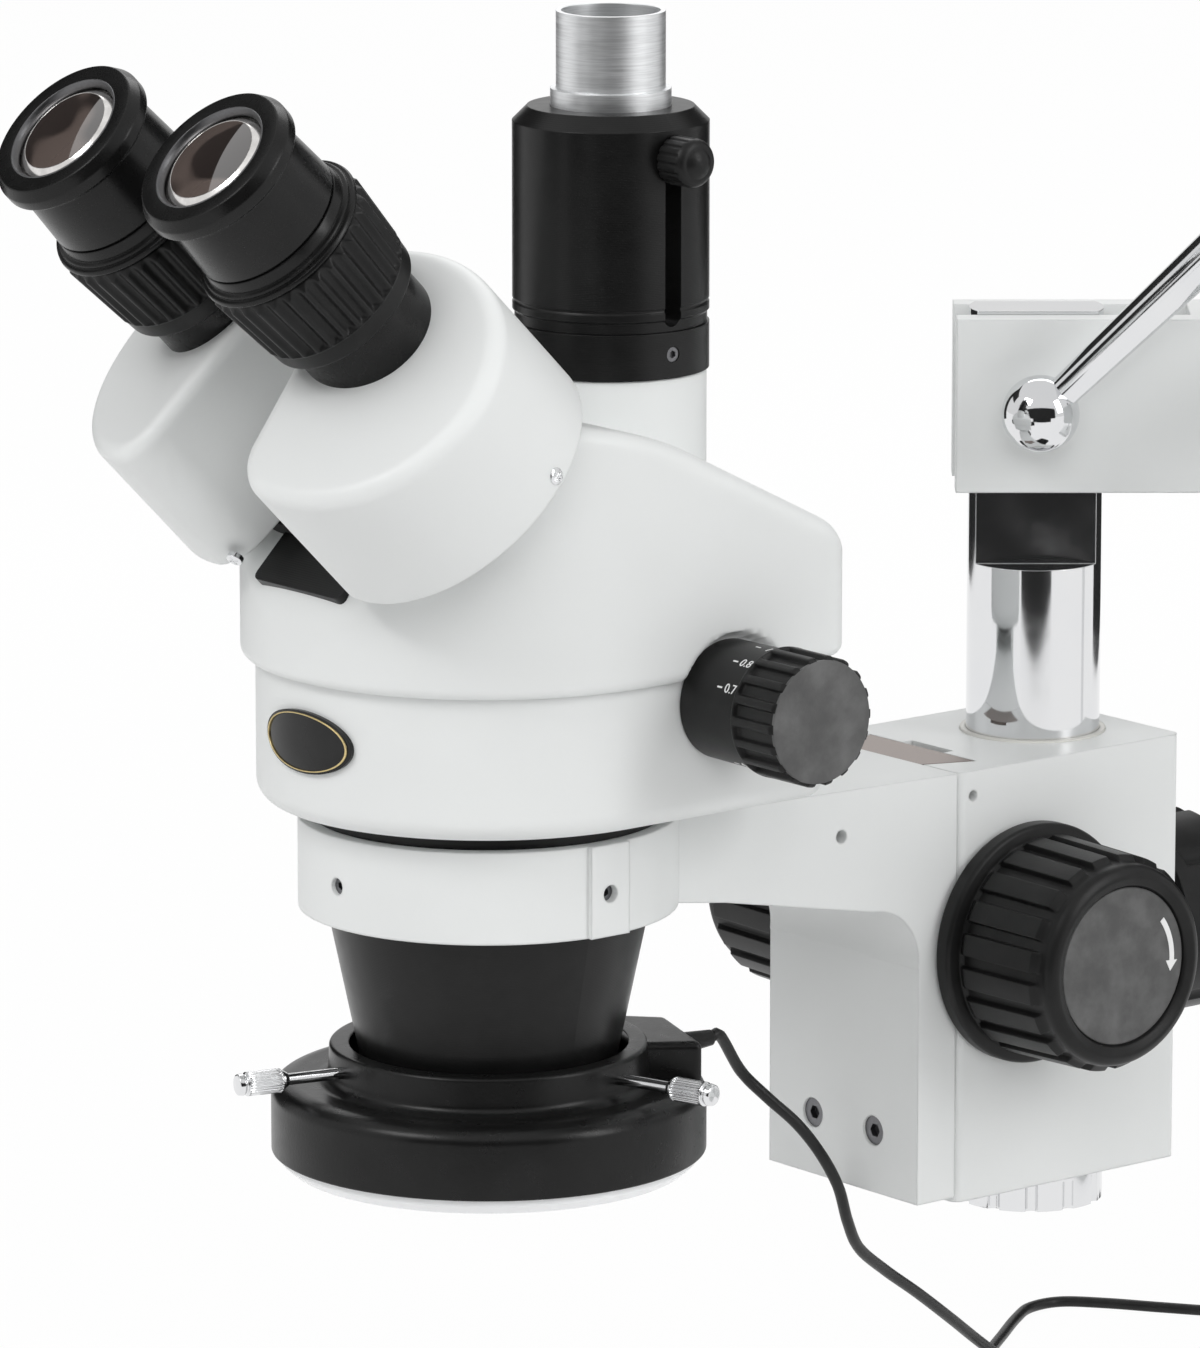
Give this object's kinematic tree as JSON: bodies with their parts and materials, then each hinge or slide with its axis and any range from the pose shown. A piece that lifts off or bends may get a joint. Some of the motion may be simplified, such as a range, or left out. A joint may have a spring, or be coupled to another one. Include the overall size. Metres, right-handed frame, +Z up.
{
  "type": "trinocular stereo microscope",
  "caption": "Trinocular zoom stereo microscope with a ring light, hung by a focus mount on the post of a two-rod boom stand with a square base.",
  "frame": {"origin": "centre of the stand's base on the bench, under the pillar", "axes": "+Z up the pillar, -X along the boom towards the hanging post and the head"},
  "size_m": [0.8341, 0.3847, 0.402],
  "materials": {
    "white_paint": "satin",
    "white_cast": "satin",
    "base_cast": "satin",
    "rubber_foot": "matte",
    "chrome_plate": "polished",
    "brushed_bar": "satin",
    "dark_steel": "satin",
    "silver_anodised": "satin",
    "black_anodised": "satin",
    "black_knob": "satin",
    "satin_cap": "satin",
    "black_lamp": "satin",
    "badge_gloss": "gloss",
    "coated_glass": "gloss",
    "bushing": "satin",
    "circuit_board": "satin",
    "diffuser_white": "satin",
    "cord_black": "satin",
    "plug_black": "satin"
  },
  "bodies": {
    "stand": {"base": "base_cast", "feet": "rubber_foot", "pillar": "chrome_plate", "pillar_cap": "black_knob"},
    "height_collar": {"height_collar": "silver_anodised"},
    "collar_knob": {"collar_knob": "black_knob"},
    "cross_block": {"cross_block": "white_cast"},
    "swing_knob": {"swing_knob": "black_knob"},
    "slide_knob": {"slide_knob": "black_knob"},
    "boom": {"boom_rods": "chrome_plate", "end_plate": "white_cast", "fork": "white_cast", "tilt_pin": "chrome_plate"},
    "tilt_lever": {"tilt_lever": "chrome_plate"},
    "hanging_post": {"post": "chrome_plate", "post_stop": "chrome_plate"},
    "post_bush": {"post_bush": "bushing"},
    "focus_block": {"focus_block": "white_cast"},
    "post_clamp": {"post_clamp_knob": "black_knob"},
    "pinion": {"pinion_shaft": "brushed_bar", "focus_knob_right": "black_knob", "focus_knob_left": "black_knob", "focus_caps": "satin_cap"},
    "carriage": {"slide_bar": "brushed_bar", "bracket": "white_cast", "bracket_screws": "dark_steel", "ring_screws": "dark_steel"},
    "head": {"mount_barrel": "black_anodised", "objective_shroud": "black_anodised", "objective_lenses": "coated_glass", "lower_shell": "white_cast", "upper_shell": "white_cast", "badge": "badge_gloss", "drum_plate": "black_anodised", "head_screws": "dark_steel", "port_base": "black_anodised", "port_sleeve": "black_anodised"},
    "zoom": {"zoom_shaft": "brushed_bar", "zoom_knob_right": "black_knob", "zoom_knob_left": "black_knob"},
    "drum_right": {"prism_drum_right": "white_cast"},
    "drum_left": {"prism_drum_left": "white_cast"},
    "diopter_right": {"diopter_ring_right": "black_anodised"},
    "diopter_left": {"diopter_ring_left": "black_anodised"},
    "eyepiece_right": {"eyepiece_right": "black_anodised", "eye_lenses_right": "coated_glass"},
    "eyepiece_left": {"eyepiece_left": "black_anodised", "eye_lenses_left": "coated_glass"},
    "photo_tube": {"photo_tube": "silver_anodised"},
    "photo_knob": {"photo_knob": "black_knob"},
    "ring_light": {"lamp_housing": "black_lamp", "lamp_board": "circuit_board", "lamp_diffuser": "diffuser_white", "lead_relief": "cord_black", "lead": "cord_black", "lead_coil": "cord_black", "lead_plug": "plug_black"},
    "lamp_screw_left": {"lamp_screw_left": "chrome_plate"},
    "lamp_screw_right": {"lamp_screw_right": "chrome_plate"},
    "lamp_screw_rear": {"lamp_screw_rear": "chrome_plate"}
  },
  "joints": [
    {"name": "collar_lift", "type": "slide", "parent": "stand", "child": "height_collar", "axis": [0, 0, 1], "range_m": [-0.055, 0.1]},
    {"name": "collar_knob_turn", "type": "hinge", "parent": "height_collar", "child": "collar_knob", "pos_m": [0, -0.032, 0.2012], "axis": [0, -1, 0], "range_deg": [0, 270]},
    {"name": "boom_swing", "type": "hinge", "parent": "height_collar", "child": "cross_block", "pos_m": [0, 0, 0.2562], "axis": [0, 0, 1], "range_deg": [-170, 170]},
    {"name": "swing_knob_turn", "type": "hinge", "parent": "cross_block", "child": "swing_knob", "pos_m": [0, 0.033, 0.2252], "axis": [0, 1, 0], "range_deg": [0, 270]},
    {"name": "slide_knob_turn", "type": "hinge", "parent": "cross_block", "child": "slide_knob", "pos_m": [0, -0.059, 0.2562], "axis": [0, -1, 0], "range_deg": [0, 270]},
    {"name": "boom_slide", "type": "slide", "parent": "cross_block", "child": "boom", "axis": [1, 0, 0], "range_m": [-0.15, 0.1]},
    {"name": "tilt_lever_turn", "type": "hinge", "parent": "boom", "child": "tilt_lever", "pos_m": [-0.38, 0, 0.2562], "axis": [0, 1, 0], "range_deg": [-60, 18]},
    {"name": "post_tilt", "type": "hinge", "parent": "boom", "child": "hanging_post", "pos_m": [-0.38, 0, 0.2562], "axis": [0, 1, 0], "range_deg": [-35, 35]},
    {"name": "block_height", "type": "slide", "parent": "hanging_post", "child": "post_bush", "axis": [0, 0, 1], "range_m": [0, 0.03]},
    {"name": "head_swing", "type": "hinge", "parent": "post_bush", "child": "focus_block", "pos_m": [-0.38, 0, 0.1], "axis": [0, 0, 1], "range_deg": [-140, 62]},
    {"name": "post_clamp_turn", "type": "hinge", "parent": "focus_block", "child": "post_clamp", "pos_m": [-0.36135, 0.0151, 0.1245], "axis": [0.7771, 0.6293, 0], "range_deg": [0, 270]},
    {"name": "focus_slide", "type": "slide", "parent": "focus_block", "child": "carriage", "axis": [0, 0, 1], "range_m": [-0.025, 0.025]},
    {"name": "focus_pinion", "type": "hinge", "parent": "focus_block", "child": "pinion", "pos_m": [-0.40021, -0.01636, 0.1325], "axis": [0.6293, -0.7771, 0], "range_deg": [-226, 226]},
    {"name": "head_turn", "type": "hinge", "parent": "carriage", "child": "head", "pos_m": [-0.50901, -0.10447, 0.17], "axis": [0, 0, 1], "range_deg": [-180, 180]},
    {"name": "zoom_turn", "type": "hinge", "parent": "head", "child": "zoom", "pos_m": [-0.48857, -0.08792, 0.2103], "axis": [0.6293, -0.7771, 0], "range_deg": [0, 300]},
    {"name": "drum_right_fold", "type": "hinge", "parent": "head", "child": "drum_right", "pos_m": [-0.53511, -0.1709, 0.2902], "axis": [-0.5495, -0.445, 0.7071], "range_deg": [-4, 47]},
    {"name": "drum_left_fold", "type": "hinge", "parent": "head", "child": "drum_left", "pos_m": [-0.57942, -0.11619, 0.2902], "axis": [-0.5495, -0.445, 0.7071], "range_deg": [-47, 4]},
    {"name": "diopter_right_turn", "type": "hinge", "parent": "drum_right", "child": "diopter_right", "pos_m": [-0.53396, -0.15941, 0.29833], "axis": [-0.5495, -0.445, 0.7071], "range_deg": [0, 300]},
    {"name": "eyepiece_right_slide", "type": "slide", "parent": "drum_right", "child": "eyepiece_right", "axis": [-0.5495, -0.445, 0.7071], "range_m": [0, 0.004]},
    {"name": "diopter_left_turn", "type": "hinge", "parent": "drum_left", "child": "diopter_left", "pos_m": [-0.56794, -0.11745, 0.29833], "axis": [-0.5495, -0.445, 0.7071], "range_deg": [0, 300]},
    {"name": "eyepiece_left_slide", "type": "slide", "parent": "drum_left", "child": "eyepiece_left", "axis": [-0.5495, -0.445, 0.7071], "range_m": [0, 0.004]},
    {"name": "photo_tube_slide", "type": "slide", "parent": "head", "child": "photo_tube", "axis": [0, 0, 1], "range_m": [-0.0355, 0]},
    {"name": "photo_knob_turn", "type": "hinge", "parent": "photo_tube", "child": "photo_knob", "pos_m": [-0.46718, -0.09891, 0.328], "axis": [0.6293, -0.7771, 0], "range_deg": [0, 270]},
    {"name": "ring_light_turn", "type": "hinge", "parent": "head", "child": "ring_light", "pos_m": [-0.50901, -0.10447, 0.1], "axis": [0, 0, 1], "range_deg": [-20, 20]},
    {"name": "lamp_screw_left_turn", "type": "hinge", "parent": "ring_light", "child": "lamp_screw_left", "pos_m": [-0.55432, -0.1256, 0.121], "axis": [-0.9063, -0.4226, 0], "range_deg": [0, 270]},
    {"name": "lamp_screw_right_turn", "type": "hinge", "parent": "ring_light", "child": "lamp_screw_right", "pos_m": [-0.46805, -0.13315, 0.121], "axis": [0.8192, -0.5736, 0], "range_deg": [0, 270]},
    {"name": "lamp_screw_rear_turn", "type": "hinge", "parent": "ring_light", "child": "lamp_screw_rear", "pos_m": [-0.50465, -0.05466, 0.121], "axis": [0.0872, 0.9962, 0], "range_deg": [0, 270]}
  ],
  "couplings": [
    {"joint": "focus_pinion", "follows": "focus_slide", "rad_per_m": -156.25},
    {"joint": "drum_left_fold", "follows": "drum_right_fold", "ratio": -1},
    {"joint": "diopter_right_turn", "follows": "eyepiece_right_slide", "rad_per_m": 1309},
    {"joint": "diopter_left_turn", "follows": "eyepiece_left_slide", "rad_per_m": 1309}
  ]
}
